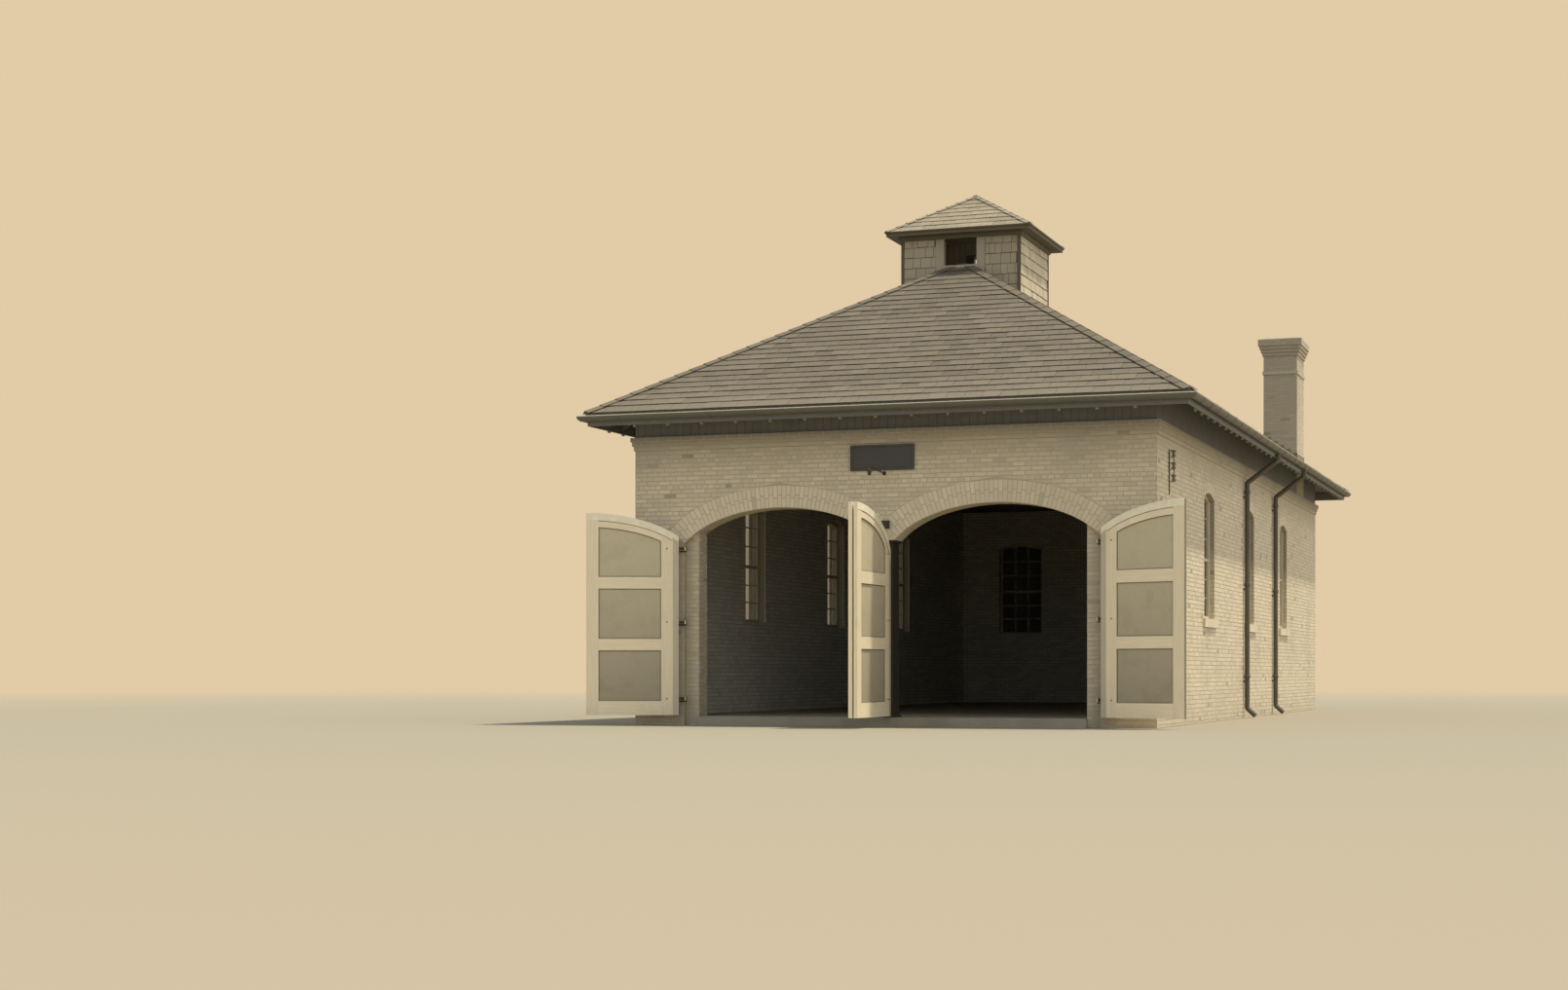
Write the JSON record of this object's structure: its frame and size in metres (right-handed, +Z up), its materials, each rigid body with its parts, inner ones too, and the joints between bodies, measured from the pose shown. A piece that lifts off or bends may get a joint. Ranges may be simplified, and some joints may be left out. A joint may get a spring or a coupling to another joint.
{
  "type": "brick fire station building",
  "caption": "Brick fire house with arched engine bays, hinged double doors, hipped slate roof, shingled cupola and chimney.",
  "frame": {"origin": "middle of the building's plan at ground level, on the underside of the walls and floor", "axes": "+X right along the front as seen from the street, +Y back from the front, +Z up"},
  "size_m": [10.53, 23.049, 9.8657],
  "materials": {
    "brickwork": "matt fired brick in lime mortar",
    "arch_brick": "matt fired brick laid on edge",
    "chimney_brick": "matt sooted brick",
    "floor_concrete": "matt trowelled concrete",
    "sill_stone": "matt dressed stone",
    "painted_iron": "satin dark paint",
    "hinge_iron": "matt dark",
    "lamp_iron": "satin dark paint",
    "box_iron": "matt dark",
    "rack_iron": "matt dark with glazed insulators",
    "window_wood": "weathered pale paint",
    "window_glass": "old clear glass",
    "eaves_wood": "dark weathered boards",
    "rafter_wood": "dark weathered rafters",
    "gutter_paint": "weathered pale paint",
    "pipe_paint": "weathered pale paint",
    "roof_slate": "matt split slate",
    "roof_caps": "dull sheet metal",
    "cupola_shingle": "weathered shingles",
    "cupola_trim": "weathered pale paint",
    "cupola_roofing": "dark weathered boards and shingles",
    "door_paint": "weathered cream paint",
    "door_panel": "weathered grey boards",
    "sign_paint": "dark paint, left bare"
  },
  "bodies": {
    "building": {"floor_slab": "floor_concrete", "front_pier_left": "brickwork", "front_pier_right": "brickwork", "door_jamb_left": "brickwork", "door_jamb_right": "brickwork", "arch_ring_left": "arch_brick", "arch_ring_right": "arch_brick", "front_wall": "brickwork", "left_wall": "brickwork", "right_wall": "brickwork", "rear_wall": "brickwork", "middle_post": "painted_iron", "window_sashes_left": "window_wood", "window_sashes_right": "window_wood", "window_sashes_rear": "window_wood", "window_glass": "window_glass", "window_sills": "sill_stone", "frieze_front": "eaves_wood", "frieze_rear": "eaves_wood", "frieze_left": "eaves_wood", "frieze_right": "eaves_wood", "rafter_tails": "rafter_wood", "gutter_front": "gutter_paint", "gutter_rear": "gutter_paint", "gutter_left": "gutter_paint", "gutter_right": "gutter_paint", "roof_front": "roof_slate", "roof_rear": "roof_slate", "roof_left": "roof_slate", "roof_right": "roof_slate", "ridge_and_hip_caps": "roof_caps", "cupola_walls": "cupola_shingle", "cupola_frames": "cupola_trim", "cupola_roof": "cupola_roofing", "chimney": "chimney_brick", "hinge_pins": "hinge_iron", "rain_pipes": "pipe_paint", "sign_board": "sign_paint", "door_lamp": "lamp_iron", "alarm_box": "box_iron", "insulator_rack": "rack_iron"},
    "left_bay_inner_door": {"left_bay_inner_door_frame": "door_paint", "left_bay_inner_door_panels": "door_panel"},
    "left_bay_outer_door": {"left_bay_outer_door_frame": "door_paint", "left_bay_outer_door_panels": "door_panel"},
    "right_bay_inner_door": {"right_bay_inner_door_frame": "door_paint", "right_bay_inner_door_panels": "door_panel"},
    "right_bay_outer_door": {"right_bay_outer_door_frame": "door_paint", "right_bay_outer_door_panels": "door_panel"}
  },
  "joints": [
    {"name": "left_bay_outer_door_hinge", "type": "hinge", "parent": "building", "child": "left_bay_outer_door", "pos_m": [-3.56, -10.28, 1.7], "axis": [0, 0, 1], "range_deg": [0, 157]},
    {"name": "right_bay_outer_door_hinge", "type": "hinge", "parent": "building", "child": "right_bay_outer_door", "pos_m": [3.56, -10.28, 1.7], "axis": [0, 0, 1], "range_deg": [-157, 0]},
    {"name": "left_bay_inner_door_hinge", "type": "hinge", "parent": "building", "child": "left_bay_inner_door", "pos_m": [-0.045, -10.215, 1.7], "axis": [0, 0, 1], "range_deg": [-90, 0]},
    {"name": "right_bay_inner_door_hinge", "type": "hinge", "parent": "building", "child": "right_bay_inner_door", "pos_m": [0.045, -10.215, 1.7], "axis": [0, 0, 1], "range_deg": [0, 90]}
  ]
}
